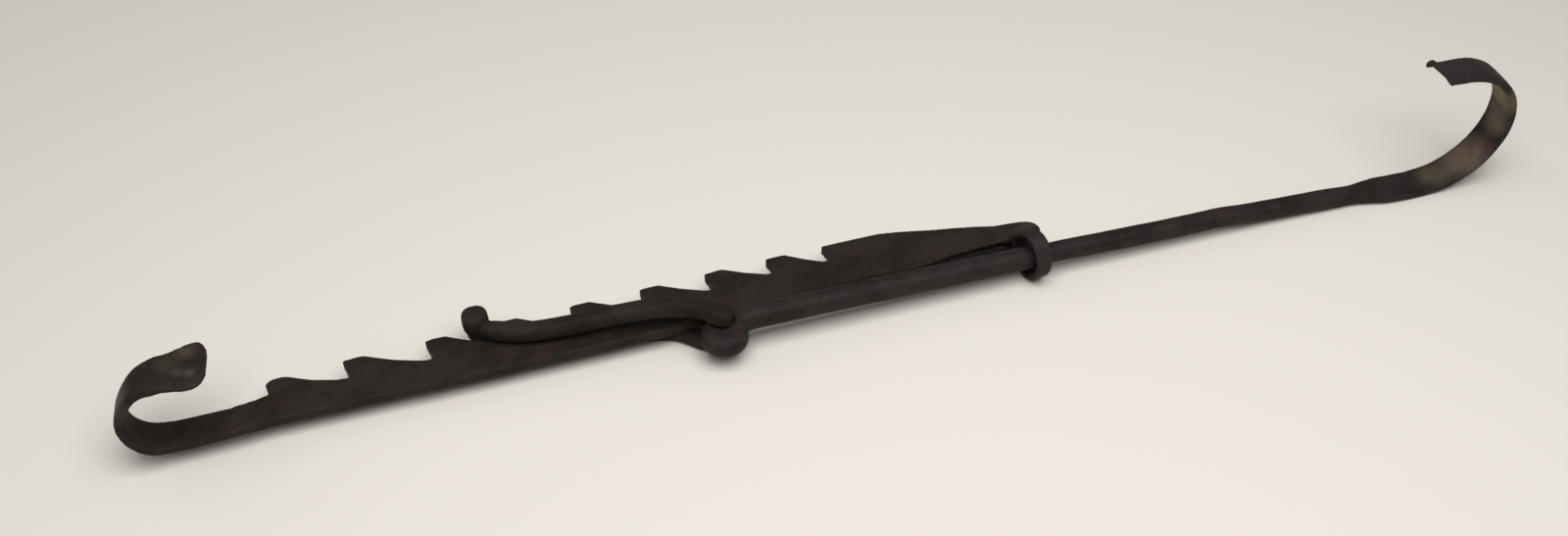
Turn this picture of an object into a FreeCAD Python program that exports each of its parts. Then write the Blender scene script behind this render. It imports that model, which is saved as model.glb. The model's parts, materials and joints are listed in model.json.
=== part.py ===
import FreeCAD, Part
import math
import os

# Hand-forged sawtooth trammel: an adjustable hearth hanger, modelled lying on its flat side.
# Three separate forgings make it up:
#   toothed_bar  flat blade with nine saw teeth, a small hook at one end and a collar at the other
#   hook_rod     round rod that slides in the collar, with an eye at one end and the pot hook at the other
#   catch_link   closed stirrup that swings in the rod's eye and drops behind a tooth
# Millimetres.  +X runs along the blade towards the pot hook, +Z is up.
# Lengths along X are first counted from a setting-out point near the middle of the blade, with the
# table top at Z = 0.  The last step moves every piece so that the origin is the bottom centre.

Vector = FreeCAD.Vector

# --- toothed bar -----------------------------------------------------------------------------
blade_thickness = 5.5
blade_bottom = 8.8                 # the blade rests on the lower leg of the catch link
blade_top = blade_bottom + blade_thickness
blade_back = -42.8                 # Y of the straight back edge
back_edge_end = -88.0              # the back edge steps in here, beside the rod's eye
back_step_end = -62.0
back_beside_rod = -41.2
taper_start = 48.0
blade_end = 134.0
end_back = -35.5
end_front = -22.0
# X of each tooth's point, Y of its crest, and Y of the notch floor in front of it
teeth = [
    (-292.0, -12.4, -22.2),
    (-251.0, -10.2, -23.4),
    (-207.0, -9.2, -23.5),
    (-168.0, -7.6, -22.4),
    (-127.0, -7.6, -21.6),
    (-87.0, -6.8, -20.6),
    (-49.0, -5.9, -19.2),
    (-12.0, -5.0, -17.4),
    (22.0, -4.6, -17.5),
]
crest_length = 10.0                # from a tooth's point to its crest
point_drop = 0.8                   # the point lies this much below the crest
undercut = 1.3                     # the steep wall leans back over the notch
floor_length = 4.0                 # level floor at the foot of the wall
front_edge_after_teeth = [(52.0, -4.9), (67.0, -7.7), (88.0, -13.0), (110.0, -17.3)]

strap_end = -310.0
strap_front = -25.0                # the blade narrows to this strap before the small hook
strap_thickness = 5.4
hook_foot = -340.0                 # X where the small hook starts to curl
small_hook_radius = 20.2           # to the middle of the strap
small_hook_reach = 23.0            # straight stretch after the curl
small_hook_flare = 5.0             # the strap is this much wider at the top of the curl than at its foot
small_hook_tip_width = 29.0
small_hook_tip_growth = 2.5        # the last stretch widens by this much, droops and thins a little
small_hook_tip_droop = 0.6
small_hook_tip_thinning = 1.0
small_hook_drift = 3.8             # the strap wanders this far towards +Y
small_hook_drift_in_curl = 0.9     # share of that wander reached by the end of the curl
small_hook_strap_start = -300.0

collar_centre = Vector(133.0, -51.0, 16.6)
collar_inner_radius = 13.2
collar_thickness = 3.4
collar_width = 10.5
collar_yaw = 10.0                  # degrees, the loose collar sits slightly askew

# --- hook rod --------------------------------------------------------------------------------
eye_x = -53.4                      # middle of the round boss at the rod's end
eye_y = -57.3
eye_radius = 13.3
eye_bottom = 8.9
eye_thickness = 11.2
eye_hole_radius = 5.4
eye_top_round = 4.0
eye_bottom_round = 2.2
pin_x = -53.4                      # the hole is off the boss's middle, nearer the line of the rod
pin_y = -52.0
rod_y = -51.5
rod_height_at_eye = 18.0           # height of the rod's axis, produced back to the eye
rod_fall = 0.0205                  # the rod slopes down by this much for each millimetre along X
thick_rod = 14.4
waist_rod = 14.0
thin_rod = 11.2
neck_start = 2.0                   # distances from the eye along the neck, where its shape changes
neck_middle = 12.0
neck_round = 24.0
neck_end = 36.0
neck_pull = 2.0                    # the neck leaves the eye this much nearer the eye's middle
neck_start_slimmer = 1.4           # differences of the neck's width and height from the rod's and eye's
neck_middle_slimmer = 1.0
neck_middle_rise = 0.6
neck_round_flatter = 0.4
shank_start = 20.0
waist_start = 90.0
collar_step = 128.0                # the rod is thinner beyond this point
step_before = 10.0                 # the step is a taper this long before and after
step_after = 12.0
straight_rod_end = 150.0
straight_rod_overlap = 20.0

# the thin stretch bows down a little on its way to the pot hook
bowed_rod = [(190.0, -51.8, 12.2), (212.0, -52.0, 11.4), (235.0, -52.1, 10.8), (255.0, -52.0, 10.6),
             (274.0, -52.2, 9.1), (304.0, -52.4, 7.1)]

pot_strap_thickness = 5.0
pot_hook_lift = 0.3                # the strap touches the table only where it starts to rise
pot_hook_y = -54.2
pot_hook_centre_x = 395.0
pot_hook_half_length = 46.7        # both to the middle of the strap
pot_hook_half_height = 41.8
pot_hook_skew = 8.0                # degrees, the strap's edges are not square to its run
pot_hook_tip_reach = 11.0
pot_hook_tip_width = 23.0
pot_hook_tip_droop = 0.2
pot_hook_tip_thinning = 1.4
pot_strap_width = 21.5
pot_strap_narrowing = 2.8          # the strap is this much narrower at the top of the hook
# where the thin rod spreads into the strap: X, Y, Z of its middle, its width and its height
fishtail = [(334.0, -53.1, 5.6, 11.8, 9.6), (347.0, -53.5, 4.4, 13.6, 8.0), (359.0, -53.8, 3.5, 18.4, 6.0)]
fishtail_end = 374.0
fishtail_end_width = 20.5

# --- catch link ------------------------------------------------------------------------------
upper_leg = 10.8                   # bar diameter of each stretch
pin_bar = 9.6
lower_leg = 8.2
cross_bar = 9.0
cross_x = -180.5
cross_y = -0.7                     # the crosspiece just clears the crests of the teeth
cross_foot_height = 0.4
cross_foot_round = 3.0
cross_shoulder_height = 18.6
arm_overlap = 3.4                  # the leaning arm starts this far inside the upright
arm_round = 2.0
knob_radius = 6.8
knob_centre = Vector(-180.5, -9.9, 22.4)
knob_back = 3.6                    # the knob's length either side of its middle
knob_front = 5.0
knob_round = 3.4
upper_leg_end_height = 26.0        # the upper leg ends lying on top of the eye
leg_end_round = 3.0
leg_route = [(-170.0, -19.0, 20.8), (-154.0, -25.3, 20.5), (-133.0, -28.7, 20.8), (-111.5, -31.1, 22.2),
             (-90.0, -34.3, 24.8), (-75.0, -38.6, 26.6), (-62.7, -44.3, 26.6)]
pad_x = -54.8                      # the lower leg ends in a round pad under the eye
pad_y = -53.2
pad_radius = 7.0
pad_bottom = 0.6
pad_top = 8.1
pad_round = 2.0
lower_leg_pad_thinning = 1.2       # the leg is slimmer where it runs into the pad and the crosspiece
lower_leg_foot_thinning = 1.0
lower_route = [(-64.6, -49.4), (-73.3, -40.4), (-84.0, -34.6), (-110.0, -29.5), (-133.0, -25.5),
               (-154.0, -19.0), (-171.0, -9.0)]

round_corner = 0.92                # corner radius of round bars, as a share of half the smaller side
strap_corner = 0.5
pot_hook_corner = 0.6
section_step = 5.0                 # distance between the sections a forging is lofted through
leg_section_step = 4.0
tolerance = 0.1                    # heights closer than this count as the same


def rounded_section(centre, across, up, width, height, corner):
    """Closed wire: a rectangle with round corners, square to the forging's run."""
    half_width = width / 2
    half_height = height / 2

    def place(u, v):
        return centre + across * u + up * v

    edges = []
    corners = [(1, 1), (-1, 1), (-1, -1), (1, -1)]
    bulge = corner * (1 - math.sqrt(0.5))
    for index, (side_u, side_v) in enumerate(corners):
        outer_u = side_u * half_width
        outer_v = side_v * half_height
        on_side = place(outer_u, outer_v - side_v * corner)
        on_top = place(outer_u - side_u * corner, outer_v)
        middle = place(outer_u - side_u * bulge, outer_v - side_v * bulge)
        first, last = (on_side, on_top) if index % 2 == 0 else (on_top, on_side)
        edges.append(Part.Arc(first, middle, last).toShape())
        next_u, next_v = corners[(index + 1) % 4]
        if index % 2 == 0:
            start = last
            end = place(next_u * half_width - next_u * corner, next_v * half_height)
        else:
            start = last
            end = place(next_u * half_width, next_v * half_height - next_v * corner)
        edges.append(Part.LineSegment(start, end).toShape())
    return Part.Wire(edges)


def between(values, distances, distance):
    """Value at a distance along a run, in proportion between the stations."""
    for index in range(len(distances) - 1):
        if distance <= distances[index + 1]:
            share = (distance - distances[index]) / (distances[index + 1] - distances[index])
            return values[index] * (1 - share) + values[index + 1] * share
    return values[-1]


def forged_bar(stations, first_across, roundness, step=section_step):
    """Solid lofted along a smooth curve through stations of (point, width, height).

    roundness is the corner radius as a share of half the smaller side: near 1 for a round bar.
    """
    points = [station[0] for station in stations]
    distances = [0.0]
    for before, after in zip(points, points[1:]):
        distances.append(distances[-1] + (after - before).Length)
    curve = Part.BSplineCurve()
    curve.interpolate(Points=points, Parameters=distances)
    count = max(4, int(round(distances[-1] / step)) + 1)
    across = Vector(first_across)
    sections = []
    for index in range(count):
        distance = distances[-1] * index / (count - 1)
        tangent = curve.tangent(distance)[0]
        across = across - tangent * across.dot(tangent)
        across.normalize()
        up = tangent.cross(across)
        width = between([station[1] for station in stations], distances, distance)
        height = between([station[2] for station in stations], distances, distance)
        corner = roundness * min(width, height) / 2
        sections.append(rounded_section(curve.value(distance), across, up, width, height, corner))
    return Part.makeLoft(sections, True, False)


def toothed_outline():
    """Plan of the blade: front edge from the strap over nine teeth to the collar, then the back edge."""
    outline = [(strap_end, strap_front), (teeth[0][0] - floor_length, teeth[0][2])]
    for index, (point_x, crest_y, floor_y) in enumerate(teeth):
        outline.append((point_x + undercut, floor_y))
        outline.append((point_x, crest_y - point_drop))
        outline.append((point_x + crest_length, crest_y))
        if index + 1 < len(teeth):
            next_x, _, next_floor = teeth[index + 1]
            outline.append((next_x - floor_length, next_floor))
    outline += front_edge_after_teeth
    outline += [(blade_end, end_front), (blade_end, end_back), (taper_start, back_beside_rod)]
    outline += [(back_step_end, back_beside_rod), (back_edge_end, blade_back), (strap_end, blade_back)]
    return outline


def make_collar():
    """Strap bent round the rod as a closed ring, welded to the blade's end."""
    outer = Part.makeCylinder(collar_inner_radius + collar_thickness, collar_width,
                              Vector(-collar_width / 2, 0, 0), Vector(1, 0, 0))
    bore = Part.makeCylinder(collar_inner_radius, 3 * collar_width,
                             Vector(-1.5 * collar_width, 0, 0), Vector(1, 0, 0))
    ring = outer.cut(bore)
    ring.rotate(Vector(0, 0, 0), Vector(0, 0, 1), collar_yaw)
    ring.translate(collar_centre)
    return ring


def make_toothed_bar():
    corners = [Vector(x, y, blade_bottom) for x, y in toothed_outline()]
    plate = Part.Face(Part.makePolygon(corners + corners[:1])).extrude(Vector(0, 0, blade_thickness))

    strap_width = strap_front - blade_back
    strap_y = (strap_front + blade_back) / 2
    strap_z = blade_bottom + strap_thickness / 2
    top_z = strap_z + 2 * small_hook_radius
    straight = (small_hook_strap_start + hook_foot) / 2
    stations = [(Vector(small_hook_strap_start, strap_y, strap_z), strap_width, strap_thickness),
                (Vector(straight, strap_y, strap_z), strap_width, strap_thickness)]
    for degrees in (-90, -60, -30, 0, 30, 60, 90):
        share = (degrees + 90) / 180
        width = strap_width + small_hook_flare * share ** 3
        x = hook_foot - small_hook_radius * math.cos(math.radians(degrees))
        z = strap_z + small_hook_radius * (1 + math.sin(math.radians(degrees)))
        y = strap_y + share * small_hook_drift_in_curl * small_hook_drift
        stations.append((Vector(x, y, z), width, strap_thickness))
    tip_y = strap_y + small_hook_drift
    stations.append((Vector(hook_foot + small_hook_reach / 2, tip_y, top_z),
                     small_hook_tip_width - small_hook_tip_growth, strap_thickness))
    stations.append((Vector(hook_foot + small_hook_reach, tip_y, top_z - small_hook_tip_droop),
                     small_hook_tip_width, strap_thickness - small_hook_tip_thinning))
    hook = forged_bar(stations, (0, 1, 0), strap_corner)
    return plate.fuse([hook, make_collar()]).removeSplitter()


def rod_axis(x):
    """Point on the rod's straight axis at a given X."""
    return Vector(x, rod_y, rod_height_at_eye - rod_fall * (x - eye_x))


def closed_edges(shape):
    """Full circles among a shape's edges: the rims of a round bar or boss."""
    return [edge for edge in shape.Edges if edge.Closed]


def make_eye():
    """Round boss with rounded rims at the rod's end."""
    boss = Part.makeCylinder(eye_radius, eye_thickness, Vector(eye_x, eye_y, eye_bottom))
    middle = eye_bottom + eye_thickness / 2
    top_rims = [edge for edge in closed_edges(boss) if edge.CenterOfMass.z > middle]
    boss = boss.makeFillet(eye_top_round, top_rims)
    low_rims = [edge for edge in closed_edges(boss) if edge.CenterOfMass.z < eye_bottom + tolerance]
    return boss.makeFillet(eye_bottom_round, low_rims)


def make_hook_rod():
    eye_middle = eye_bottom + eye_thickness / 2
    neck_start_point = Vector(eye_x + neck_start, rod_y - neck_pull, eye_middle)
    neck_middle_point = Vector(eye_x + neck_middle, rod_y, eye_middle + neck_middle_rise)
    neck = [(neck_start_point, thick_rod - neck_start_slimmer, eye_thickness - neck_start_slimmer),
            (neck_middle_point, thick_rod - neck_middle_slimmer, eye_thickness),
            (rod_axis(eye_x + neck_round), thick_rod, thick_rod - neck_round_flatter),
            (rod_axis(eye_x + neck_end), thick_rod, thick_rod)]
    shank = [(rod_axis(shank_start), thick_rod, thick_rod),
             (rod_axis(waist_start), waist_rod, waist_rod),
             (rod_axis(collar_step - step_before), waist_rod, waist_rod),
             (rod_axis(collar_step + step_after), thin_rod, thin_rod),
             (rod_axis(straight_rod_end), thin_rod, thin_rod),
             (rod_axis(straight_rod_end + straight_rod_overlap), thin_rod, thin_rod)]
    strap_z = pot_strap_thickness / 2 + pot_hook_lift
    end = [shank[-2], shank[-1]]
    end += [(Vector(x, y, z), thin_rod, thin_rod) for x, y, z in bowed_rod]
    end += [(Vector(x, y, z), width, height) for x, y, z, width, height in fishtail]
    end.append((Vector(fishtail_end, pot_hook_y, strap_z), fishtail_end_width, pot_strap_thickness))
    for degrees in (-90, -65, -40, -15, 10, 35, 60, 85):
        angle = math.radians(degrees)
        x = pot_hook_centre_x + pot_hook_half_length * math.cos(angle)
        z = strap_z + pot_hook_half_height * (1 + math.sin(angle))
        width = pot_strap_width - pot_strap_narrowing * max(0.0, math.sin(angle))
        end.append((Vector(x, pot_hook_y, z), width, pot_strap_thickness))
    top_z = strap_z + 2 * pot_hook_half_height
    end.append((Vector(pot_hook_centre_x - pot_hook_tip_reach, pot_hook_y, top_z - pot_hook_tip_droop),
                pot_hook_tip_width, pot_strap_thickness - pot_hook_tip_thinning))
    rod = forged_bar(neck[2:] + shank, (0, 1, 0), round_corner)
    neck_bar = forged_bar(neck, (0, 1, 0), round_corner)
    skew = math.radians(pot_hook_skew)
    end_bar = forged_bar(end, (math.sin(skew), math.cos(skew), 0), pot_hook_corner)
    body = make_eye().fuse([neck_bar, rod, end_bar])
    hole_start = Vector(pin_x, pin_y, eye_bottom - eye_thickness)
    hole = Part.makeCylinder(eye_hole_radius, 3 * eye_thickness, hole_start)
    return body.cut(hole).removeSplitter()


def make_catch_link():
    pin_foot = Vector(pin_x, pin_y, lower_leg / 2)
    leg_end = Vector(pin_x, pin_y, upper_leg_end_height)
    upper = [(knob_centre, upper_leg, upper_leg)]
    upper += [(Vector(x, y, z), upper_leg, upper_leg) for x, y, z in leg_route]
    upper.append((leg_end, upper_leg, upper_leg))
    pad_z = (pad_bottom + pad_top) / 2
    at_pad = lower_leg - lower_leg_pad_thinning
    at_foot = lower_leg - lower_leg_foot_thinning
    lower = [(Vector(pad_x, pad_y, pad_z), at_pad, at_pad)]
    lower += [(Vector(x, y, lower_leg / 2), lower_leg, lower_leg) for x, y in lower_route]
    lower.append((Vector(cross_x, cross_y, lower_leg / 2), at_foot, at_foot))
    upper_bar = forged_bar(upper, (0, 1, 0), round_corner, leg_section_step)
    lower_bar = forged_bar(lower, (0, 1, 0), round_corner, leg_section_step)
    half = Vector(0, 0, upper_leg / 2)
    rounded_end = round_bar(upper_leg / 2, leg_end - half, leg_end + half, leg_end_round)
    pad = round_bar(pad_radius, Vector(pad_x, pad_y, pad_bottom), Vector(pad_x, pad_y, pad_top), pad_round)
    pin = Part.makeCylinder(pin_bar / 2, (leg_end - pin_foot).Length, pin_foot)
    return upper_bar.fuse([rounded_end, pin, pad, lower_bar, make_crosspiece()])


def round_bar(radius, start, end, rounding):
    """Round bar from start to end with both ends rounded over."""
    bar = Part.makeCylinder(radius, (end - start).Length, start, end - start)
    return bar.makeFillet(rounding, closed_edges(bar))


def make_crosspiece():
    """Upright bar outside the teeth, and the knob where it leans over and joins the upper leg."""
    radius = cross_bar / 2
    foot = Vector(cross_x, cross_y, cross_foot_height)
    shoulder = Vector(cross_x, cross_y, cross_shoulder_height)
    lean = knob_centre - shoulder
    lean.normalize()
    upright = round_bar(radius, foot, shoulder + Vector(0, 0, radius), cross_foot_round)
    arm = round_bar(radius, shoulder - lean * arm_overlap, knob_centre + lean * radius, arm_round)
    knob_start = knob_centre - lean * knob_back
    knob_end = knob_centre + lean * knob_front
    knob = round_bar(knob_radius, knob_start, knob_end, knob_round)
    return upright.fuse([arm, knob])


os.makedirs("parts", exist_ok=True)
pieces = {
    "toothed_bar": make_toothed_bar(),
    "hook_rod": make_hook_rod(),
    "catch_link": make_catch_link(),
}
box = FreeCAD.BoundBox()
for shape in pieces.values():
    box.add(shape.optimalBoundingBox(False, False))
to_origin = Vector(-box.Center.x, -box.Center.y, -box.ZMin)
for name, shape in pieces.items():
    shape.translate(to_origin)
    shape.exportStep("parts/" + name + ".step")
    size = shape.optimalBoundingBox(False, False)
    print(name, "valid", shape.isValid(), "solids", len(shape.Solids), "volume", round(shape.Volume))
    print("   X", round(size.XMin, 2), round(size.XMax, 2), "Y", round(size.YMin, 2), round(size.YMax, 2),
          "Z", round(size.ZMin, 2), round(size.ZMax, 2))
print("moved by", to_origin, "pin axis at", Vector(pin_x, pin_y, 0) + to_origin)
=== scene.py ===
import json
import math

import bpy
import numpy as np
from mathutils import Matrix, Vector, noise


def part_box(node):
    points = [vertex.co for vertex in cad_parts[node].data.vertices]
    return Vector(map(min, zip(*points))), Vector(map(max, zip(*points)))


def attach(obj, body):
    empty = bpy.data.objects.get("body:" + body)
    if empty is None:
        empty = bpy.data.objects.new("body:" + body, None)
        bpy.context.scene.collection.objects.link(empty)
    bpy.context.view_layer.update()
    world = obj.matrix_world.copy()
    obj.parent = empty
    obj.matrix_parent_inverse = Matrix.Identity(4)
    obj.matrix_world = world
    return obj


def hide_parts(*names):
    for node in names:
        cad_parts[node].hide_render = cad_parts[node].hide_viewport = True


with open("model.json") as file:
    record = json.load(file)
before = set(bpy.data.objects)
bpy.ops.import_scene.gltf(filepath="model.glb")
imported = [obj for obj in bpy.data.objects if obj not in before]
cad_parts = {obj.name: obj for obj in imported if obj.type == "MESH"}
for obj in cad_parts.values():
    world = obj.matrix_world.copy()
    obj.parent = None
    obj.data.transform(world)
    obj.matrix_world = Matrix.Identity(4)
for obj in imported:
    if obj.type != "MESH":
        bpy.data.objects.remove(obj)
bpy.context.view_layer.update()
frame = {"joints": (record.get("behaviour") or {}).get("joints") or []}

# Sawtooth trammel: a toothed blade with its small hook and collar, a sliding rod with its boss and pot
# hook, and a catch link.  Each forging is built again here with its hammered surface and worn edges,
# and stands for the plain CAD node.  Lengths are in millimetres from the same setting-out point as the
# CAD; SHIFT and MM turn them into the row frame at the end.

swing = next(joint for joint in frame["joints"] if joint["name"] == "catch_swing")
MM = 0.001
PIN_X, PIN_Y = -53.4, -52.0
SHIFT = Vector((swing["pos_m"][0] / MM - PIN_X, swing["pos_m"][1] / MM - PIN_Y, 0.0))
RING = 40                                   # points round a bar's section
BLADE_VOXEL, ROD_VOXEL, LINK_VOXEL = 0.72, 0.62, 0.55
FINE_STEP = 0.5                             # spacing of the sections of short round forms
SPREAD_PASSES = 10                          # smoothing passes that tell edges and hollows from flats


# --- shapes ---------------------------------------------------------------------------------

SHORTEST = 0.1                              # rows closer than this count as this far apart


def smooth_rows(rows, step):
    """Catmull-Rom rows through the given rows, about one step apart in X, Y and Z."""
    rows = [np.array(r, float) for r in rows]
    padded = [2 * rows[0] - rows[1]] + rows + [2 * rows[-1] - rows[-2]]
    made = []
    for i in range(len(rows) - 1):
        p0, p1, p2, p3 = padded[i:i + 4]
        t0 = 0.0
        t1 = t0 + max(SHORTEST, np.linalg.norm((p1 - p0)[:3])) ** 0.5
        t2 = t1 + max(SHORTEST, np.linalg.norm((p2 - p1)[:3])) ** 0.5
        t3 = t2 + max(SHORTEST, np.linalg.norm((p3 - p2)[:3])) ** 0.5
        count = max(1, int(np.linalg.norm((p2 - p1)[:3]) / step))
        for k in range(count):
            t = t1 + (t2 - t1) * k / count
            a1 = (t1 - t) / (t1 - t0) * p0 + (t - t0) / (t1 - t0) * p1
            a2 = (t2 - t) / (t2 - t1) * p1 + (t - t1) / (t2 - t1) * p2
            a3 = (t3 - t) / (t3 - t2) * p2 + (t - t2) / (t3 - t2) * p3
            b1 = (t2 - t) / (t2 - t0) * a1 + (t - t0) / (t2 - t0) * a2
            b2 = (t3 - t) / (t3 - t1) * a2 + (t - t1) / (t3 - t1) * a3
            made.append((t2 - t) / (t2 - t1) * b1 + (t - t1) / (t2 - t1) * b2)
    made.append(rows[-1])
    return made


def section(width, height, corner):
    """Points round a rounded rectangle; corner is a share of half the smaller side."""
    radius = corner * min(width, height) / 2
    points = []
    for k in range(RING):
        angle = 2 * math.pi * (k + 0.5) / RING
        u, v = math.cos(angle), math.sin(angle)
        reach = 1.0 / max(abs(u) / (width / 2), abs(v) / (height / 2))
        x, y = u * reach, v * reach
        cx = math.copysign(width / 2 - radius, x)
        cy = math.copysign(height / 2 - radius, y)
        if abs(x) > abs(cx) and abs(y) > abs(cy):
            away = Vector((x - cx, y - cy)).normalized() * radius
            x, y = cx + away.x, cy + away.y
        points.append((x, y))
    return points


def row(x, y, z, width, height, corner=0.5, skew=0.0):
    """Station of a bar: its middle, its size across and up, its corners and the direction across."""
    angle = math.radians(skew)
    return (x, y, z, width, height, corner, math.sin(angle), math.cos(angle), 0.0)


def upright_row(x, y, z, size, depth=None, corner=1.0):
    """Station of an upright or leaning form: its middle, its sizes and its corners."""
    return (x, y, z, size, depth or size, corner, 1.0, 0.0, 0.0)


def loft(rows, step=1.0):
    """Closed bar through stations. Each section keeps its own direction across, so ends can be skewed."""
    rows = smooth_rows(rows, step)
    points = [Vector(r[:3]) for r in rows]
    verts, faces = [], []
    for i, r in enumerate(rows):
        tangent = (points[min(i + 1, len(points) - 1)] - points[max(i - 1, 0)]).normalized()
        across = Vector(r[6:9]).normalized()
        up = tangent.cross(across).normalized()
        for u, v in section(r[3], r[4], min(1.0, r[5])):
            verts.append(points[i] + across * u + up * v)
        if i:
            for k in range(RING):
                a, b = (i - 1) * RING + k, (i - 1) * RING + (k + 1) % RING
                faces.append((a, b, b + RING, a + RING))
    # the two ends
    faces.append(tuple(reversed(range(RING))))
    faces.append(tuple(range(len(verts) - RING, len(verts))))
    return verts, faces


def plate(outline, bottom, top):
    """Flat plate from an outline."""
    count = len(outline)
    verts = [Vector((x, y, bottom)) for x, y in outline] + [Vector((x, y, top)) for x, y in outline]
    faces = [tuple(reversed(range(count))), tuple(range(count, 2 * count))]
    for k in range(count):
        n = (k + 1) % count
        faces.append((k, n, n + count, k + count))
    return verts, faces


def worn_line(points, rounding, spacing=0.9):
    """Outline resampled closely, its corners rounded off by the given number of passes."""
    dense = []
    for (x0, y0), (x1, y1) in zip(points, points[1:] + points[:1]):
        count = max(1, int(math.hypot(x1 - x0, y1 - y0) / spacing))
        for k in range(count):
            dense.append((x0 + (x1 - x0) * k / count, y0 + (y1 - y0) * k / count))
    line = np.array(dense)
    for _ in range(rounding):
        line = 0.5 * line + 0.25 * (np.roll(line, 1, axis=0) + np.roll(line, -1, axis=0))
    return [tuple(p) for p in line]


# --- forging: fuse, hammer and wear ---------------------------------------------------------

DENT_SIZE, FLAT_SIZE, PIT_SIZE = 15.0, 6.0, 1.9
# a point counts as worn or hollow when it stands out or lies back by this much, up to fully so
WEAR_STARTS, WEAR_RANGE = 0.10, 0.55
HOLLOW_STARTS, HOLLOW_RANGE = 0.08, 0.5


def placed(name, parts):
    """Object in the row frame from closed parts."""
    verts, faces = [], []
    for part_verts, part_faces in parts:
        start = len(verts)
        verts += part_verts
        faces += [tuple(start + k for k in face) for face in part_faces]
    mesh = bpy.data.meshes.new(name)
    mesh.from_pydata([(v + SHIFT) * MM for v in verts], [], faces)
    obj = bpy.data.objects.new(name, mesh)
    bpy.context.scene.collection.objects.link(obj)
    return obj


def fused(name, parts, voxel, hole=None):
    """One closed mesh from overlapping closed parts, with a hole cut through it if one is given."""
    obj = placed(name, parts)
    remesh = obj.modifiers.new("fuse", "REMESH")
    remesh.mode = "VOXEL"
    remesh.voxel_size = voxel * MM
    remesh.adaptivity = 0.0
    cutter = None
    if hole:
        cutter = placed("cutter", [hole])
        cut = obj.modifiers.new("cut", "BOOLEAN")
        cut.operation = "DIFFERENCE"
        cut.object = cutter
    depsgraph = bpy.context.evaluated_depsgraph_get()
    made = bpy.data.meshes.new_from_object(obj.evaluated_get(depsgraph))
    obj.modifiers.clear()
    obj.data = made
    made.name = name
    if cutter:
        bpy.data.objects.remove(cutter)
    return obj


def neighbours_mean(values, edges, count):
    """Mean of each vertex's neighbours."""
    total = np.zeros_like(values)
    np.add.at(total, edges[:, 0], values[edges[:, 1]])
    np.add.at(total, edges[:, 1], values[edges[:, 0]])
    return total / count


def forge(obj, seed, big, mid, fine, dents=()):
    """Softens the voxel steps, presses the hammer's flats into the surface and notes worn edges.

    big, mid and fine are the depths in millimetres of broad dents, hammer flats and small pits.
    """
    mesh = obj.data
    total = len(mesh.vertices)
    co = np.zeros(total * 3)
    mesh.vertices.foreach_get("co", co)
    co = co.reshape(-1, 3)
    edges = np.zeros(len(mesh.edges) * 2, np.int64)
    mesh.edges.foreach_get("vertices", edges)
    edges = edges.reshape(-1, 2)
    count = np.zeros(total)
    np.add.at(count, edges.ravel(), 1)
    count = np.maximum(count, 1)[:, None]
    co += 0.5 * (neighbours_mean(co, edges, count) - co)
    mesh.vertices.foreach_set("co", co.ravel())
    mesh.update()
    normal = np.zeros(total * 3)
    mesh.vertices.foreach_get("normal", normal)
    normal = normal.reshape(-1, 3)

    # how far each point stands out from its surroundings, which is where hands and tools rub
    pulled = co.copy()
    for _ in range(SPREAD_PASSES):
        pulled = neighbours_mean(pulled, edges, count)
    stand_out = ((co - pulled) * normal).sum(1) / MM
    wear = np.clip((stand_out - WEAR_STARTS) / WEAR_RANGE, 0, 1)
    hollow = np.clip((-stand_out - HOLLOW_STARTS) / HOLLOW_RANGE, 0, 1)

    offset = Vector((seed * 3.7, seed * 1.9, seed * 5.3))
    press = np.zeros(total)
    for i in range(total):
        p = Vector(co[i]) / MM + offset
        dent = noise.noise(p / DENT_SIZE)
        flat = noise.noise(p / FLAT_SIZE)
        pit = noise.noise(p / PIT_SIZE)
        press[i] = -big * (0.5 + 0.5 * dent) - mid * (0.5 + 0.5 * flat) - fine * (0.5 + 0.5 * pit)
    for x, y, z, radius, depth in dents:
        middle = np.array((Vector((x, y, z)) + SHIFT) * MM)
        away = np.linalg.norm(co - middle, axis=1) / (radius * MM)
        press -= depth * np.exp(-away ** 2)
    co += normal * (press * MM)[:, None]
    mesh.vertices.foreach_set("co", co.ravel())
    for name, values in (("wear", wear), ("hollow", hollow)):
        layer = mesh.attributes.new(name, "FLOAT", "POINT")
        layer.data.foreach_set("value", values.astype(np.float32))
    mesh.update()
    for polygon in mesh.polygons:
        polygon.use_smooth = True
    return obj


def kept_in_box(obj, node):
    """Trims stray points back to the CAD node's own box."""
    low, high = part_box(node)
    co = np.zeros(len(obj.data.vertices) * 3)
    obj.data.vertices.foreach_get("co", co)
    co = np.clip(co.reshape(-1, 3), np.array(low), np.array(high))
    obj.data.vertices.foreach_set("co", co.ravel())
    obj.data.update()


# --- toothed blade --------------------------------------------------------------------------

BLADE_LOW, BLADE_HIGH = 8.6, 14.7
# X of each tooth's point, Y of its crest, Y of the notch floor in front of it, how hollow its back is
TEETH = [
    (-292.0, -12.4, -22.2, 1.4),
    (-251.0, -10.2, -23.4, 1.2),
    (-207.0, -9.2, -23.5, 1.0),
    (-168.0, -7.6, -22.4, 0.8),
    (-127.0, -7.6, -21.6, 0.8),
    (-87.0, -6.8, -20.6, 0.8),
    (-49.0, -5.9, -19.2, 0.6),
    (-12.0, -5.0, -17.4, 0.6),
    (22.0, -4.6, -17.5, 0.0),
]
FIRST_TOOTH_WEAR = 2.0                      # how strongly the first tooth's point is rounded off
CREST = 10.0                                # from a tooth's point to the end of its crest
UNDERCUT = 1.3                              # how far a tooth's steep face leans in at its foot
FLOOR = 4.0                                 # how far before the next point a notch's floor starts
FRONT_AFTER_TEETH = [(52.0, -3.4), (67.0, -6.0), (88.0, -10.9), (110.0, -15.6), (130.0, -21.4)]
STRAP_JOIN = [(-310.0, -25.0), (-297.5, -23.4)]
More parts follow.
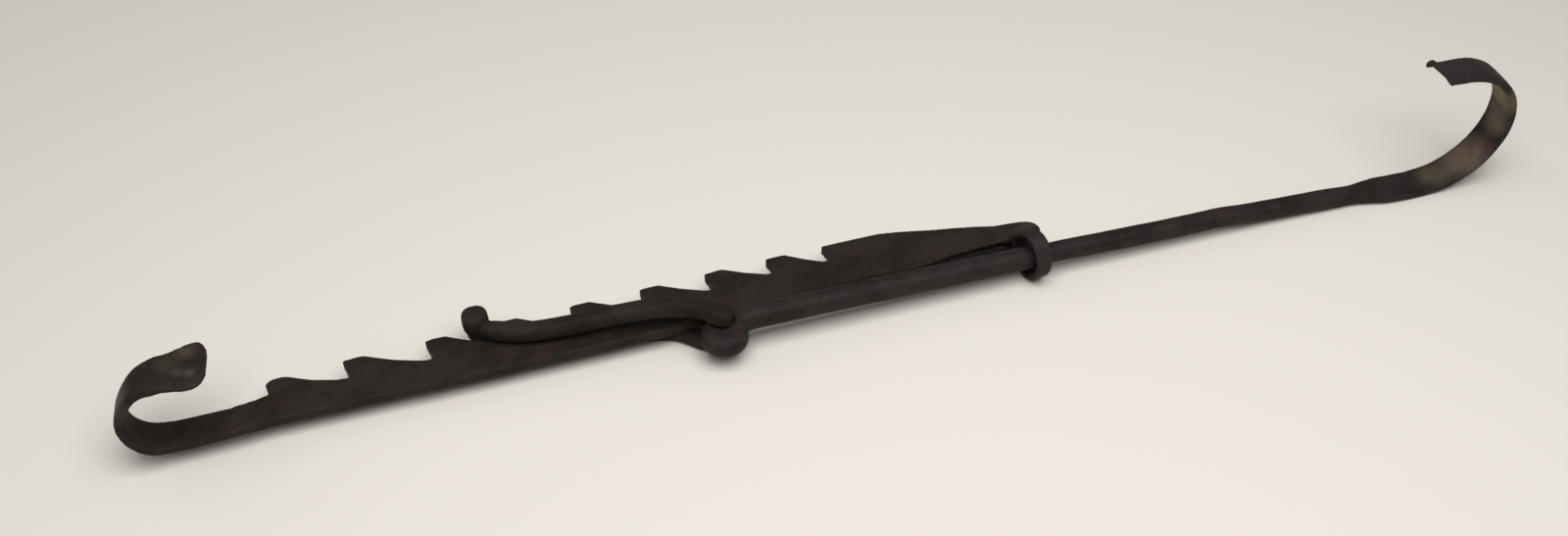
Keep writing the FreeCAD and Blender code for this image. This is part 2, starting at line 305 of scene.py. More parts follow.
BACK_EDGE = [(130.0, -34.4), (108.0, -34.7), (95.0, -35.5), (82.0, -36.9), (70.0, -38.4), (48.0, -40.8),
             (-62.0, -41.2), (-88.0, -42.6), (-200.0, -42.2), (-270.0, -41.2), (-310.0, -41.4)]


def blade_outline():
    """Plan of the blade, its corners a little rounded: teeth, front edge, then the back edge."""
    outline = list(STRAP_JOIN)
    for i, (x, crest, floor, hollow) in enumerate(TEETH):
        worn = FIRST_TOOTH_WEAR if i == 0 else 0.0
        # foot of the steep face, the point, and the crest
        outline += [(x + UNDERCUT, floor + 0.7), (x - 1.4 + 0.3 * worn, crest + 0.5 - 1.4 * worn),
                    (x + 1.2, crest + 1.0 - 0.5 * worn), (x + 4.0, crest + 1.3), (x + CREST, crest + 1.4)]
        if i + 1 < len(TEETH):
            next_x, _, next_floor, _ = TEETH[i + 1]
            run = next_x - FLOOR - (x + CREST)
            fall = next_floor - crest
            # the sloping back down to the next notch's floor
            outline.append((x + CREST + run * 0.5, crest + fall * 0.5 - hollow + 1.2))
            outline.append((next_x - FLOOR, next_floor + 0.9))
    return worn_line(outline + FRONT_AFTER_TEETH + BACK_EDGE, 1)


# X, Y, Z, radius and depth of the hammer marks near the small hook's tip
SMALL_HOOK_DENTS = [(-327.0, -36.0, 53.0, 2.6, 0.7), (-322.5, -34.0, 53.0, 2.6, 0.6),
                    (-330.0, -24.0, 53.0, 5.0, 0.6)]
# the small hook's curl, half a turn from its foot to its top:
# angle, width, drift across, skew of the section, and how far the curl is pressed in
SMALL_HOOK_CURL = [
    (-90, 20.4, -0.5, 0, 0.0),
    (-60, 21.2, -0.8, 0, -0.2),
    (-30, 20.8, -0.2, 1, -0.2),
    (0, 19.8, 1.0, 4, 0.3),
    (30, 20.0, 1.9, 6, 2.1),
    (60, 21.8, 2.6, 7, 1.8),
    (90, 24.8, 3.0, 7, 0.6),
]
# the small hook's tip: distance past the curl, drift across, drop, width, thinning, corners and skew
SMALL_HOOK_TIP = [
    (10.0, 3.5, 0.1, 28.0, 0.6, 0.6, 7),
    (17.0, 3.6, 0.4, 30.6, 1.2, 0.7, 7),
    (21.5, 3.8, 0.6, 29.4, 1.6, 0.8, 6),
    (24.2, 4.2, 0.8, 25.0, 2.0, 0.9, 5),
    (25.6, 4.8, 0.9, 17.0, 2.6, 1.0, 5),
]
# where along the tip its end starts to be drawn out, over what length, and its half width
TIP_START, TIP_RUN, TIP_HALF_WIDE = 4.0, 18.0, 14.0
TIP_FAR_LIFT, TIP_NEAR_DROP = 2.4, 0.6
TIP_FAR_REACH, TIP_BULGE = 0.6, 0.9


def small_hook():
    """Strap curled back over itself, with a broad, drawn-out tip."""
    foot_x, radius, strap = -340.0, 20.4, 5.6
    y = -33.4
    low_z = BLADE_LOW + strap / 2
    rows = [row(-300.0, y, low_z, 18.2, strap, 0.45), row(-322.0, y - 0.3, low_z, 19.4, strap, 0.45)]
    for degrees, width, drift, skew, pressed in SMALL_HOOK_CURL:
        angle = math.radians(degrees)
        rows.append(row(foot_x - radius * math.cos(angle) + pressed, y + drift,
                        low_z + radius * (1 + math.sin(angle)), width, strap, 0.5, skew))
    top = low_z + 2 * radius
    for past, drift, drop, width, thinning, corner, skew in SMALL_HOOK_TIP:
        rows.append(row(foot_x + past, y + drift, top - drop, width, strap - thinning, corner, skew))
    verts, faces = loft(rows)
    for v in verts:
        share = 0.0
        if v.z > low_z + radius:
            share = min(1.0, max(0.0, (v.x - foot_x - TIP_START) / TIP_RUN))
        across = (v.y - (y + 4.0)) / TIP_HALF_WIDE
        # the far corner of the tip is drawn out and turned up, the near one is turned down a little
        v.z += share * (TIP_FAR_LIFT * max(0.0, across) ** 2 - TIP_NEAR_DROP * max(0.0, -across) ** 2)
        v.x += share * (TIP_FAR_REACH * max(0.0, across) + TIP_BULGE * (1 - across * across))
    return verts, faces


COLLAR = Vector((133.0, -51.1, 16.1))       # middle of the ring
COLLAR_HALF_WIDE, COLLAR_HALF_HIGH = 10.2, 11.8    # inside the ring
COLLAR_STRAP, COLLAR_WIDE, COLLAR_YAW = 3.8, 10.8, 10.0
COLLAR_INSIDE_EDGE = 0.7                    # rounding of the strap's inside edges
COLLAR_OUTSIDE_IN, COLLAR_OUTSIDE_ALONG = 1.3, 1.4    # and of its outside edges
COLLAR_THINNING, COLLAR_THIN_TURN = 0.14, 0.6    # how uneven the strap is, and where round the ring
COLLAR_POINTS = 96                          # points round the ring
# the blade's end twists from lying flat to standing on edge, up into the ring's far shoulder:
# middle, width, thickness, corners and direction across
COLLAR_TWIST = [
    (98.0, -24.6, 11.7, 17.6, 5.2, 0.5, 0.0, 1.0, 0.0),
    (112.0, -25.4, 11.9, 16.6, 5.2, 0.5, 0.04, 1.0, 0.0),
    (122.0, -27.4, 13.0, 14.8, 5.2, 0.5, 0.22, 0.98, 0.05),
    (129.5, -31.0, 16.6, 15.0, 4.8, 0.5, 0.60, 0.80, 0.1),
    (133.4, -36.2, 21.8, 14.4, 4.4, 0.5, 0.88, 0.47, 0.1),
    (133.8, -41.6, 26.6, 12.4, 4.0, 0.5, 0.99, 0.14, 0.0),
    (133.3, -47.4, 29.4, 10.8, 3.8, 0.5, 1.0, 0.02, 0.0),
]
# a low tongue from the blade's end under the ring's far side; the photo shows only a dark wedge
# there, so this is a filler that keeps the table from showing through the gap
# the tongue's top is painted near black, as painted shade, by the dark spots along the blade's back edge
COLLAR_LAP = [
    (88.0, -31.4, 9.8, 12.6, 3.0, 0.5, 0.0, 1.0, 0.0),
    (108.0, -32.4, 9.4, 12.4, 3.0, 0.5, 0.0, 1.0, 0.0),
    (126.0, -33.6, 9.3, 12.2, 3.4, 0.5, 0.0, 1.0, 0.0),
    (134.0, -35.2, 10.0, 11.4, 3.6, 0.5, 0.0, 1.0, 0.1),
    (141.0, -37.0, 11.4, 8.0, 3.4, 0.6, 0.0, 1.0, 0.2),
]


def collar():
    """Ring round the rod, the twist of the blade's end up into it and the tongue under it."""
    yaw = math.radians(COLLAR_YAW)
    along = Vector((math.cos(yaw), math.sin(yaw), 0))
    half = COLLAR_WIDE / 2
    inside, outside = COLLAR_INSIDE_EDGE, COLLAR_OUTSIDE_ALONG
    shoulder = COLLAR_STRAP - COLLAR_OUTSIDE_IN
    profile = [(0.0, -half + inside), (inside, -half), (shoulder, -half), (COLLAR_STRAP, -half + outside),
               (COLLAR_STRAP, half - outside), (shoulder, half), (inside, half), (0.0, half - inside)]
    side = Vector((-along.y, along.x, 0))
    verts, faces = [], []
    count, size = COLLAR_POINTS, len(profile)
    for i in range(count):
        angle = 2 * math.pi * i / count
        thick = 1.0 - COLLAR_THINNING * math.sin(angle - COLLAR_THIN_TURN)
        for away, height in profile:
            out = side * math.cos(angle) * (COLLAR_HALF_WIDE + away * thick)
            out += Vector((0, 0, 1)) * math.sin(angle) * (COLLAR_HALF_HIGH + away * thick)
            verts.append(COLLAR + out + along * height)
        n = (i + 1) % count
        for k in range(size):
            m = (k + 1) % size
            faces.append((i * size + k, n * size + k, n * size + m, i * size + m))
    return [(verts, faces), loft(COLLAR_TWIST), loft(COLLAR_LAP)]


def make_bar():
    """The toothed blade with its small hook and collar, standing for the node toothed_bar."""
    parts = [plate(blade_outline(), BLADE_LOW, BLADE_HIGH), small_hook()] + collar()
    bar = fused("forged_blade", parts, BLADE_VOXEL)
    forge(bar, 1, big=0.30, mid=0.16, fine=0.06, dents=SMALL_HOOK_DENTS)
    kept_in_box(bar, "toothed_bar")
    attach(bar, "bar")
    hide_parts("toothed_bar")
    return bar


# --- hook rod -------------------------------------------------------------------------------

BOSS_X, BOSS_Y, BOSS_LOW, BOSS_HIGH = -53.4, -57.3, 8.9, 20.2
HOLE_RADIUS = 4.5
HOLE_CUTTER = (-5.0, 40.0)                  # bottom and top of the cutter for the pin's hole
ROD_Y = -51.5
# heights and radii of the boss, rounded below and domed on top
BOSS_ROUNDS = [
    (BOSS_LOW, 9.8),
    (BOSS_LOW + 0.7, 11.7),
    (BOSS_LOW + 2.2, 12.8),
    (BOSS_LOW + 5.0, 13.4),
    (BOSS_HIGH - 4.4, 13.1),
    (BOSS_HIGH - 2.4, 12.0),
    (BOSS_HIGH - 0.9, 10.0),
    (BOSS_HIGH - 0.2, 7.4),
    (BOSS_HIGH, 4.0),
]
# X, size and lift above the rod's straight axis, from the boss through the collar
SHANK = [
    (-17.0, 13.9, 0.7),
    (20.0, 13.8, 0.7),
    (60.0, 13.9, 0.3),
    (90.0, 13.8, 0.0),
    (129.0, 13.4, 0.0),
    (132.6, 13.2, 0.0),
    (134.6, 12.3, 0.0),
    (141.0, 12.0, 0.0),
    (150.0, 12.0, 0.0),
]
# X, Y, Z, width, height, corners and skew along the bowed thin rod and its fishtail
THIN_ROD = [
    (190.0, -51.8, 12.2, 11.9, 11.9, 0.8, 0),
    (212.0, -52.0, 11.5, 11.8, 11.8, 0.8, 0),
    (235.0, -52.1, 11.0, 11.6, 11.5, 0.8, 0),
    (255.0, -52.0, 10.7, 11.6, 11.4, 0.8, 0),
    (274.0, -52.2, 8.9, 11.6, 11.6, 0.8, 0),
    (304.0, -52.4, 7.2, 11.6, 11.2, 0.75, 0),
    (334.0, -53.1, 5.9, 12.0, 10.2, 0.7, 0),
    (348.0, -53.5, 5.3, 12.2, 8.8, 0.65, 0),
    (359.0, -53.6, 4.6, 16.6, 7.0, 0.6, 3),
    (367.0, -53.7, 3.9, 20.4, 5.8, 0.55, 5),
    (380.0, -54.1, 3.0, 21.6, 5.2, 0.5, 8),
]
POT_HOOK_ANGLES = (-90, -70, -50, -30, -10, 10, 30, 50, 70, 86)
POT_HOOK_MIDDLE_X, POT_HOOK_HALF_LONG, POT_HOOK_HALF_HIGH, POT_HOOK_LOW = 395.0, 46.7, 41.8, 2.8
POT_HOOK_Y, POT_HOOK_DRIFT = -54.2, 0.9     # the strap's middle, and its drift across towards the top
POT_HOOK_WIDE, POT_HOOK_SWELL, POT_HOOK_TAPER = 21.8, 1.4, 1.0
POT_HOOK_STRAP = 5.2
# the pot hook's end edge: where it starts, over what length, and half its width
END_START, END_RUN, END_HALF_WIDE = 3.0, 8.0, 11.0
END_HOLLOW, END_LEAN, END_FAR_LIFT = 2.4, 0.8, 1.2
ABOVE_THE_ROD = 60                          # heights over this belong to the pot hook's tip


def rod_height(x):
    """Height of the rod's straight, slightly falling axis."""
    return 18.0 - 0.0205 * (x - BOSS_X)


def boss():
    """Solid round boss with a domed top."""
    rows = [upright_row(BOSS_X, BOSS_Y, z, 2 * radius) for z, radius in BOSS_ROUNDS]
    return loft(rows, FINE_STEP)


def rod_bar():
    """The rod from its neck at the boss to the pot hook's tip."""
    rows = [
        row(BOSS_X + 1.0, -54.0, 14.2, 12.4, 9.6, 0.8),
        row(BOSS_X + 7.5, -52.0, 14.8, 12.8, 10.2, 0.85),
        row(BOSS_X + 10.2, -51.6, 16.8, 13.2, 12.8, 0.85),
        row(BOSS_X + 13.0, -51.4, 17.8, 13.6, 13.8, 0.85),
        row(BOSS_X + 20.0, -51.4, rod_height(BOSS_X + 20.0) + 0.8, 13.8, 13.8, 0.9),
    ]
    rows += [row(x, ROD_Y, rod_height(x) + lift, size, size, 0.9) for x, size, lift in SHANK]
    rows += [row(*station) for station in THIN_ROD]
    for degrees in POT_HOOK_ANGLES:
        angle = math.radians(degrees)
        rise = max(0.0, math.sin(angle))
        width = POT_HOOK_WIDE + POT_HOOK_SWELL * math.cos(angle) - POT_HOOK_TAPER * rise
        rows.append(row(POT_HOOK_MIDDLE_X + POT_HOOK_HALF_LONG * math.cos(angle),
                        POT_HOOK_Y - POT_HOOK_DRIFT * rise,
                        POT_HOOK_LOW + POT_HOOK_HALF_HIGH * (1 + math.sin(angle)),
                        width, POT_HOOK_STRAP, 0.5, 8))
    top = POT_HOOK_LOW + 2 * POT_HOOK_HALF_HIGH
    rows.append(row(POT_HOOK_MIDDLE_X - 5.0, -54.8, top - 0.1, 21.4, 4.6, 0.55, 8))
    rows.append(row(POT_HOOK_MIDDLE_X - 11.2, -54.4, top - 0.2, 23.4, 3.6, 0.6, 8))
    verts, faces = loft(rows)
    for v in verts:
        share = 0.0
        if v.z > ABOVE_THE_ROD:
            share = min(1.0, max(0.0, (POT_HOOK_MIDDLE_X - END_START - v.x) / END_RUN))
        across = (v.y - POT_HOOK_Y) / END_HALF_WIDE
        # the end edge is hollow between its two corners, and leans over
        v.x += share * (END_HOLLOW * (1 - min(1.0, abs(across)) ** 2) - END_LEAN * across)
        v.z += share * (END_FAR_LIFT * max(0.0, across) ** 2)
    return verts, faces


def pot_hook_knob():
    """Little rolled-over nub at the far corner of the pot hook's tip."""
    return loft([
        row(388.2, -43.8, 85.9, 3.6, 3.2, 0.9, 30),
        row(387.2, -43.0, 86.0, 5.2, 4.9, 1.0, 30),
        row(385.6, -41.8, 86.0, 6.0, 5.7, 1.0, 30),
        row(384.0, -40.6, 85.8, 5.2, 5.0, 1.0, 30),
        row(383.2, -40.0, 85.6, 3.0, 2.8, 1.0, 30),
    ], 0.6)


def make_rod():
    """The rod with its boss and pot hook, standing for the node hook_rod."""
    hole = loft([upright_row(PIN_X, PIN_Y, z, 2 * HOLE_RADIUS) for z in HOLE_CUTTER], 60.0)
    rod = fused("forged_rod", [boss(), rod_bar(), pot_hook_knob()], ROD_VOXEL, hole)
    forge(rod, 2, big=0.26, mid=0.14, fine=0.05)
    kept_in_box(rod, "hook_rod")
    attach(rod, "rod")
    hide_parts("hook_rod")
    return rod


# --- catch link -----------------------------------------------------------------------------

CROSS_X, CROSS_Y = -180.5, -0.7             # the crosspiece's upright
CROSS_BEND = Vector((CROSS_X, CROSS_Y, 17.0))    # where the upright leans over towards the knob
CROSS_ROUNDS = [(0.5, 4.6), (1.3, 7.0), (3.0, 8.6), (6.0, 9.0), (14.0, 9.0), (17.0, 9.2), (20.0, 8.0)]
CROSS_ARM = [(-1.0, 8.4), (3.0, 9.6), (7.0, 10.6), (9.0, 10.0)]    # distance past the bend, and size
KNOB = Vector((-179.8, -10.4, 21.6))
# heights and sizes of the barrel-shaped knob
KNOB_ROUNDS = [(15.2, 6.2), (15.8, 10.0), (17.2, 13.0), (19.4, 14.4), (23.0, 14.8), (26.0, 14.4),
               (27.9, 13.0), (29.0, 10.0), (29.4, 6.2)]
KNOB_FLATTENING, KNOB_CORNER = 0.96, 0.86
UPPER_LEG_SIZE = 10.7
UPPER_LEG = [(-170.0, -19.4, 20.0), (-154.0, -25.6, 20.3), (-133.0, -28.7, 21.2), (-111.5, -31.1, 23.4),
             (-90.0, -34.3, 25.2), (-75.0, -38.6, 26.4), (-62.7, -44.6, 26.5)]
# known fault: the sideways step from the pad to the pin tilts the sections there into a ridge, which
# cuts about 2 mm into the boss, hidden under it; two separate upright forms would cure it
PAD_TOP = 8                                 # rows below this height are the pad's
PAD_OFF_X, PAD_OFF_Y = 1.2, 1.0             # how far the pad is off the pin's own middle
# heights and radii of the pad and the pin
PIN_ROUNDS = [(1.0, 4.4), (1.8, 6.2), (3.4, 6.9), (6.4, 6.9), (7.8, 5.6), (8.3, 4.4), (9.2, 4.2), (27.0, 4.2)]
LOWER_LEG_SIZE, LOWER_LEG_Z = 8.1, 4.1
LOWER_LEG = [(-64.6, -46.8), (-73.3, -37.8), (-84.0, -33.2), (-110.0, -29.5), (-133.0, -25.5),
             (-154.0, -19.0), (-171.0, -9.0)]


def upper_leg():
    """Slightly flattened bar from the knob to the boss, where it ends in a blunt rounded end."""
    rows = [row(-180.5, -11.6, 18.6, 8.6, 8.6, 0.9, 25), row(-176.5, -15.2, 19.2, 9.6, 9.6, 0.85, 25)]
    for x, y, z in UPPER_LEG:
        rows.append(row(x, y, z, UPPER_LEG_SIZE, UPPER_LEG_SIZE - 0.2, 0.76, 15))
    rows += [row(-55.4, -50.6, 25.8, 12.4, 10.9, 0.7, 32), row(-52.0, -53.2, 25.6, 12.4, 10.7, 0.75, 32),
             row(-49.8, -54.9, 25.3, 10.8, 9.8, 0.85, 32), row(-48.5, -55.9, 25.0, 7.0, 7.0, 1.0, 32)]
    return loft(rows)


def pin():
    """Round pin through the boss, spread into a pad under it."""
    rows = []
    for z, radius in PIN_ROUNDS:
        lean = 1.0 if z < PAD_TOP else 0.0
        rows.append(upright_row(PIN_X - PAD_OFF_X * lean, PIN_Y - PAD_OFF_Y * lean, z, 2 * radius))
    return loft(rows, 0.6)


def lower_leg():
    """Leg under the blade from the pad to the crosspiece's foot, and its flattened end at the pad."""
    rows = [row(-55.0, -53.4, 4.4, 7.2, 6.8, 0.9, 30)]
    for x, y in LOWER_LEG:
        rows.append(row(x, y, LOWER_LEG_Z, LOWER_LEG_SIZE, LOWER_LEG_SIZE, 0.85, 20))
    rows.append(row(CROSS_X, CROSS_Y, 4.4, 7.4, 7.4, 0.9, 45))
    palm = [row(-76.0, -36.4, 4.2, 7.0, 6.8, 0.8, 25), row(-68.0, -41.4, 4.2, 10.0, 6.8, 0.8, 30),
            row(-60.0, -46.4, 4.3, 13.0, 6.6, 0.8, 30), row(-54.0, -50.6, 4.4, 11.0, 6.4, 0.8, 30)]
    return [loft(rows), loft(palm)]


def crosspiece():
    """Upright outside the teeth, its top leaned over into the knob on the upper leg's end."""
    upright = [upright_row(CROSS_X, CROSS_Y, z, size) for z, size in CROSS_ROUNDS]
    arm = (KNOB - CROSS_BEND).normalized()
    lean = []
    for along, size in CROSS_ARM:
        p = CROSS_BEND + arm * along
        lean.append(upright_row(p.x, p.y, p.z, size))
    knob = [upright_row(KNOB.x, KNOB.y, z, size, size * KNOB_FLATTENING, KNOB_CORNER)
            for z, size in KNOB_ROUNDS]
    return [loft(upright, FINE_STEP), loft(lean, FINE_STEP), loft(knob, FINE_STEP)]


def make_link():
    """The catch link with its pin, standing for the node catch_link."""
    link = fused("forged_link", [upper_leg(), pin()] + lower_leg() + crosspiece(), LINK_VOXEL)
    forge(link, 3, big=0.20, mid=0.12, fine=0.04)
    kept_in_box(link, "catch_link")
    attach(link, "catch")
    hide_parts("catch_link")
    return link


# --- iron -----------------------------------------------------------------------------------

# noise of each layer: scale per metre, detail, roughness and distortion
BLOTCHES = (38.0, 6.0, 0.6, 0.4)
RUST_CLOUD = (90.0, 5.0, 0.65)
SPECKS = (420.0, 3.0)
RUB_CLOUD = (160.0, 4.0)
PATCH_CLOUD = (120.0, 5.0)
GLOSS_CLOUD = (140.0, 5.0)
GRAIN_CLOUD = (520.0, 6.0, 0.65)
SCALE_CLOUD = (130.0, 4.0, 0.55)
# how strongly each layer covers the one below
RUST_SHARE, SPECK_SHARE, HOLLOW_SHARE, SHADOW_LINE_SHARE = 0.6, 0.35, 0.6, 0.9
SPECK_DARK, HOLLOW_DARK = 0.45, 0.4         # share of the dark colour that is left
RUBBED_GAIN, RUBBED_LIFT = 2.6, 0.03        # from the light colour to the rubbed edges'
ROUGH_SPREAD, RUB_SMOOTHING = 0.22, 0.10
GRAIN_STRENGTH, GRAIN_DEPTH = 0.35, 0.0004
SCALE_STRENGTH, SCALE_DEPTH = 0.30, 0.0012
SHADOW_LINE_FADE = 8.0                             # length over which the painted shadow line's ends fade
# the darkest colour, painted shade for the gaps that show as black
PAINTED_SHADE_BLACK = (0.003, 0.002, 0.0016)


def iron(name, dark, light, rust, gloss, shine, rubbed, patches=(), shadow_line=None):
    """Old forged iron: blotched dark scale, rubbed edges, rust, dark hollows and a dull sheen, with the given
    patches of tint, painted shade and painted highlight, and a painted shadow line.
    """
    material = bpy.data.materials.new(name)
    material.use_nodes = True
    nodes, links = material.node_tree.nodes, material.node_tree.links
    nodes.clear()
    output = nodes.new("ShaderNodeOutputMaterial")
    shader = nodes.new("ShaderNodeBsdfPrincipled")
    links.new(shader.outputs["BSDF"], output.inputs["Surface"])
    shader.inputs["Metallic"].default_value = 0.0
    shader.inputs["IOR"].default_value = 1.5
    shader.inputs["Specular IOR Level"].default_value = shine
    place = nodes.new("ShaderNodeTexCoord").outputs["Object"]

    def cloud(scale, detail, roughness=0.6, distortion=0.0):
        node = nodes.new("ShaderNodeTexNoise")
        node.inputs["Scale"].default_value = scale
        node.inputs["Detail"].default_value = detail
        node.inputs["Roughness"].default_value = roughness
        node.inputs["Distortion"].default_value = distortion
        links.new(place, node.inputs["Vector"])
        return node.outputs["Fac"]

    def band(value, low, high, to_low=0.0, to_high=1.0):
        node = nodes.new("ShaderNodeMapRange")
        node.inputs["From Min"].default_value = low
        node.inputs["From Max"].default_value = high
        node.inputs["To Min"].default_value = to_low
        node.inputs["To Max"].default_value = to_high
        links.new(value, node.inputs["Value"])
        return node.outputs["Result"]

    def blend(share, first, second):
        node = nodes.new("ShaderNodeMix")
        node.data_type = "RGBA"
        links.new(share, node.inputs[0])
        for socket, value in ((node.inputs[6], first), (node.inputs[7], second)):
            if isinstance(value, tuple):
                socket.default_value = value + (1.0,)
            else:
                links.new(value, socket)
        return node.outputs[2]

    def times(first, second):
        node = nodes.new("ShaderNodeMath")
        node.operation = "MULTIPLY"
        links.new(first, node.inputs[0])
        if isinstance(second, float):
            node.inputs[1].default_value = second
        else:
            links.new(second, node.inputs[1])
        return node.outputs[0]

    def spot(x, y, z, inner, outer):
        """1 inside a ball about a point of the setting-out frame, fading to 0 outside it."""
        middle = (Vector((x, y, z)) + SHIFT) * MM
        node = nodes.new("ShaderNodeVectorMath")
        node.operation = "DISTANCE"
        links.new(place, node.inputs[0])
        node.inputs[1].default_value = middle
        return band(node.outputs["Value"], outer * MM, inner * MM)

    wear_node = nodes.new("ShaderNodeAttribute")
    wear_node.attribute_name = "wear"
    hollow_node = nodes.new("ShaderNodeAttribute")
    hollow_node.attribute_name = "hollow"

    speck = tuple(SPECK_DARK * c for c in dark)
    rub_colour = tuple(min(1.0, RUBBED_GAIN * c + RUBBED_LIFT) for c in light)
    deep = tuple(HOLLOW_DARK * c for c in dark)
    colour = blend(band(cloud(*BLOTCHES), 0.40, 0.62), dark, light)
    colour = blend(times(band(cloud(*RUST_CLOUD), 0.52, 0.70), RUST_SHARE), colour, rust)
    colour = blend(times(band(cloud(*SPECKS), 0.50, 0.75), SPECK_SHARE), colour, speck)
    edge = times(wear_node.outputs["Fac"], band(cloud(*RUB_CLOUD), 0.35, 0.65))
    colour = blend(times(edge, rubbed), colour, rub_colour)
    colour = blend(times(hollow_node.outputs["Fac"], HOLLOW_SHARE), colour, deep)
    for (x, y, z, inner, outer), tint, share in patches:
        near = spot(x, y, z, inner, outer)
        blotchy = times(near, band(cloud(*PATCH_CLOUD), 0.25, 0.55, 0.45, 1.0))
        colour = blend(times(blotchy, share), colour, tint)
    if shadow_line:
        # painted shadow: a thin dark line along a straight edge: its ends along X, its Y and how wide it
        # fades
        start, end, y, wide = shadow_line
        split = nodes.new("ShaderNodeSeparateXYZ")
        links.new(place, split.inputs[0])
        across = band(split.outputs["Y"], (y + SHIFT.y + wide) * MM, (y + SHIFT.y) * MM)
        along = times(band(split.outputs["X"], (start + SHIFT.x) * MM, (start + SHIFT.x + SHADOW_LINE_FADE) * MM),
                      band(split.outputs["X"], (end + SHIFT.x) * MM, (end + SHIFT.x - SHADOW_LINE_FADE) * MM))
        colour = blend(times(times(across, along), SHADOW_LINE_SHARE), colour, PAINTED_SHADE_BLACK)
    links.new(colour, shader.inputs["Base Color"])
    rough = nodes.new("ShaderNodeMath")
    rough.operation = "SUBTRACT"
    links.new(band(cloud(*GLOSS_CLOUD), 0.3, 0.7, gloss, gloss + ROUGH_SPREAD), rough.inputs[0])
    links.new(times(edge, RUB_SMOOTHING), rough.inputs[1])
    links.new(rough.outputs[0], shader.inputs["Roughness"])

    grain = nodes.new("ShaderNodeBump")
    grain.inputs["Strength"].default_value = GRAIN_STRENGTH
    grain.inputs["Distance"].default_value = GRAIN_DEPTH
    links.new(cloud(*GRAIN_CLOUD), grain.inputs["Height"])
    scale = nodes.new("ShaderNodeBump")
    scale.inputs["Strength"].default_value = SCALE_STRENGTH
    scale.inputs["Distance"].default_value = SCALE_DEPTH
    links.new(cloud(*SCALE_CLOUD), scale.inputs["Height"])
    links.new(grain.outputs["Normal"], scale.inputs["Normal"])
    links.new(scale.outputs["Normal"], shader.inputs["Normal"])
    return material


# tinted patches: middle, where they start to fade and end, colour and strength
# inside the pot hook, tan and rusty, as if rubbed by a pot's bail
BAIL_RUBS = [
    ((438.0, -53.0, 63.0, 10.0, 18.0), (0.185, 0.142, 0.078), 0.85),
    ((433.0, -54.0, 43.0, 7.0, 14.0), (0.160, 0.118, 0.084), 0.80),
    ((421.0, -54.0, 21.0, 9.0, 19.0), (0.150, 0.108, 0.082), 0.85),
    ((405.0, -54.0, 11.0, 6.0, 13.0), (0.105, 0.088, 0.058), 0.75),
    ((440.0, -49.0, 52.0, 1.0, 4.5), (0.040, 0.026, 0.018), 0.6),
    ((440.0, -54.0, 51.0, 1.0, 4.5), (0.040, 0.026, 0.018), 0.6),
    ((440.0, -59.0, 50.0, 1.0, 4.5), (0.040, 0.026, 0.018), 0.6),
    ((430.0, -60.0, 29.0, 1.5, 8.0), (0.100, 0.036, 0.026), 0.55),
]
# on the small hook's curl and tip, with painted highlights in its two hammer dents, and painted sheen on the
# ring's near shoulder
HOOK_RUBS_AND_HIGHLIGHTS = [
    ((-358.0, -33.0, 42.0, 4.0, 13.0), (0.085, 0.062, 0.052), 0.7),
    ((-323.0, -20.0, 55.0, 1.0, 7.0), (0.090, 0.072, 0.040), 0.6),
    ((-332.0, -27.0, 54.0, 2.0, 9.0), (0.050, 0.042, 0.028), 0.6),
    # painted highlights: light grey dots in the two hammer dents near the small hook's tip
    ((-322.0, -35.0, 53.0, 0.4, 4.0), (0.120, 0.112, 0.108), 0.4),
    ((-327.0, -33.5, 53.0, 0.4, 4.4), (0.110, 0.102, 0.100), 0.4),
    # painted sheen: lighter bluish grey on the ring's near upper shoulder
    ((134.0, -57.0, 24.0, 5.0, 16.0), (0.036, 0.034, 0.037), 0.6),
]
# painted shade under the blade's tapering back edge, and a painted shadow line along that edge beside the rod
CREVICE_SHADE = [((float(x), -35.6, 9.8, 3.8, 5.4), PAINTED_SHADE_BLACK, 0.97) for x in range(66, 142, 6)]
SHADOW_BESIDE_ROD = (-44.0, 66.0, -38.9, 2.0)

bar, rod, link = make_bar(), make_rod(), make_link()
bar.data.materials.append(iron(
    "blade_iron", dark=(0.0135, 0.0098, 0.0076), light=(0.0240, 0.0186, 0.0148), rust=(0.036, 0.018, 0.012),
    gloss=0.52, shine=0.16, rubbed=0.06, patches=HOOK_RUBS_AND_HIGHLIGHTS + CREVICE_SHADE, shadow_line=SHADOW_BESIDE_ROD))
rod.data.materials.append(iron(
    "rod_iron", dark=(0.0140, 0.0106, 0.0099), light=(0.0265, 0.0220, 0.0215), rust=(0.042, 0.022, 0.016),
    gloss=0.50, shine=0.17, rubbed=0.2, patches=BAIL_RUBS))
link.data.materials.append(iron(
    "link_iron", dark=(0.0145, 0.0118, 0.0102), light=(0.0260, 0.0225, 0.0195), rust=(0.034, 0.021, 0.016),
    gloss=0.58, shine=0.11, rubbed=0.15))


# --- table, light and camera ----------------------------------------------------------------

TABLE_SIZE = 8.0                            # metres; its corner shows in low views
TABLE_COLOUR, TABLE_ROUGHNESS, TABLE_SHINE = (0.80, 0.765, 0.715, 1), 0.9, 0.1


def make_floor():
    """Pale, dull table top at height 0."""
    bpy.ops.mesh.primitive_grid_add(x_subdivisions=2, y_subdivisions=2, size=TABLE_SIZE, location=(0, 0, 0))
    floor = bpy.context.object
    floor.name = "table_top"
    material = bpy.data.materials.new("pale_table")
    material.use_nodes = True
    shader = material.node_tree.nodes["Principled BSDF"]
    shader.inputs["Base Color"].default_value = TABLE_COLOUR
    shader.inputs["Roughness"].default_value = TABLE_ROUGHNESS
    shader.inputs["Specular IOR Level"].default_value = TABLE_SHINE
    floor.data.materials.append(material)


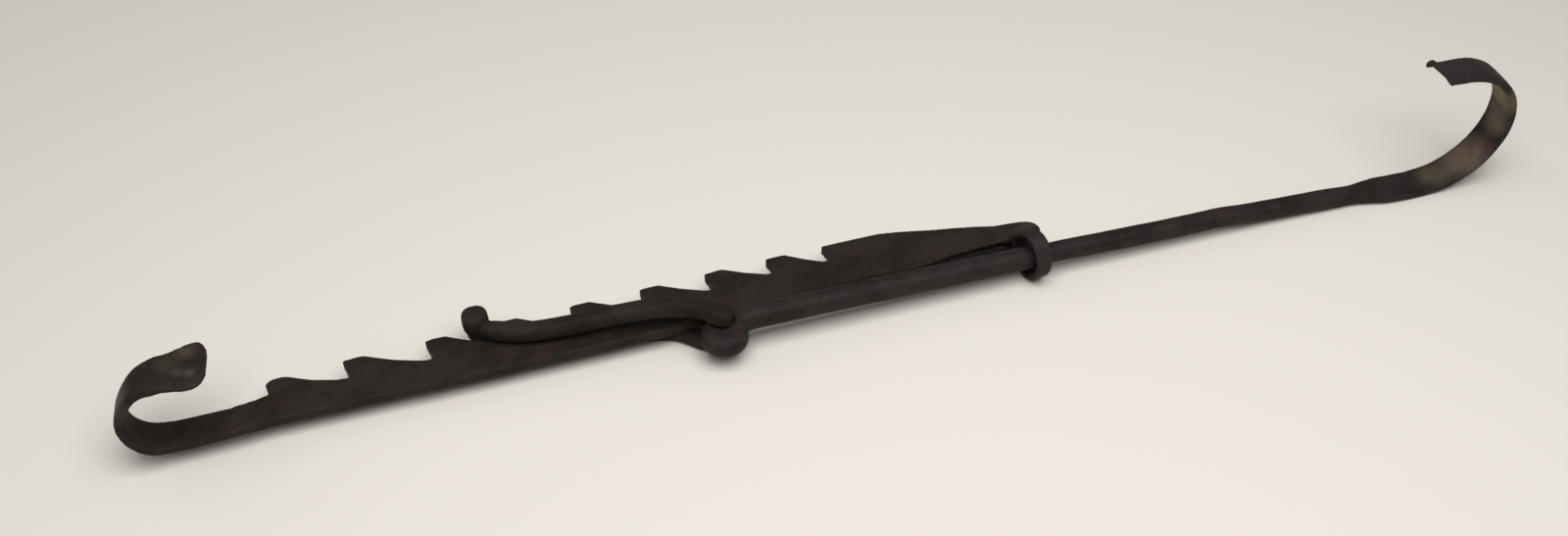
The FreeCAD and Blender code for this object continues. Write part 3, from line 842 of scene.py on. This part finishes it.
def area_light(name, place, size, power, colour=(1, 1, 1)):
    """Rectangular lamp turned to the origin."""
    data = bpy.data.lights.new(name, "AREA")
    data.shape = "RECTANGLE"
    data.size, data.size_y = size
    data.energy = power
    data.color = colour
    lamp = bpy.data.objects.new(name, data)
    lamp.location = place
    lamp.rotation_euler = (Vector((0, 0, 0)) - Vector(place)).to_track_quat("-Z", "Y").to_euler()
    bpy.context.scene.collection.objects.link(lamp)


# the photo's view: how far the camera looks down and is turned, its distance and its lens
ELEVATION = math.radians(42.0)
YAW = math.radians(18.75)
DISTANCE = 0.889
LENS, SENSOR = 34.99, 36.0
NEAREST, FARTHEST = 0.01, 20.0


def make_camera():
    """Camera at the photo's view, aimed at the setting-out point."""
    level = Vector((math.sin(YAW), math.cos(YAW), 0))
    right = Vector((math.cos(YAW), -math.sin(YAW), 0))
    forward = level * math.cos(ELEVATION) - Vector((0, 0, math.sin(ELEVATION)))
    up = level * math.sin(ELEVATION) + Vector((0, 0, math.cos(ELEVATION)))
    data = bpy.data.cameras.new("camera")
    data.lens, data.sensor_width = LENS, SENSOR
    data.clip_start, data.clip_end = NEAREST, FARTHEST
    camera = bpy.data.objects.new("camera", data)
    turn = Matrix((right, up, -forward)).transposed().to_4x4()
    camera.matrix_world = Matrix.Translation(SHIFT * MM - forward * DISTANCE) @ turn
    bpy.context.scene.collection.objects.link(camera)
    bpy.context.scene.camera = camera


make_floor()
area_light("overhead", place=(-0.04, -0.36, 1.12), size=(1.2, 1.0), power=14.4, colour=(1.0, 0.985, 0.965))
area_light("fill", place=(-1.3, 0.9, 1.1), size=(1.2, 1.0), power=2.5)
WORLD_COLOUR, WORLD_STRENGTH = (1.0, 0.985, 0.96, 1), 0.22
world = bpy.data.worlds.new("studio")
world.use_nodes = True
world.node_tree.nodes["Background"].inputs["Color"].default_value = WORLD_COLOUR
world.node_tree.nodes["Background"].inputs["Strength"].default_value = WORLD_STRENGTH
bpy.context.scene.world = world
bpy.context.scene.view_settings.view_transform = "Standard"
make_camera()
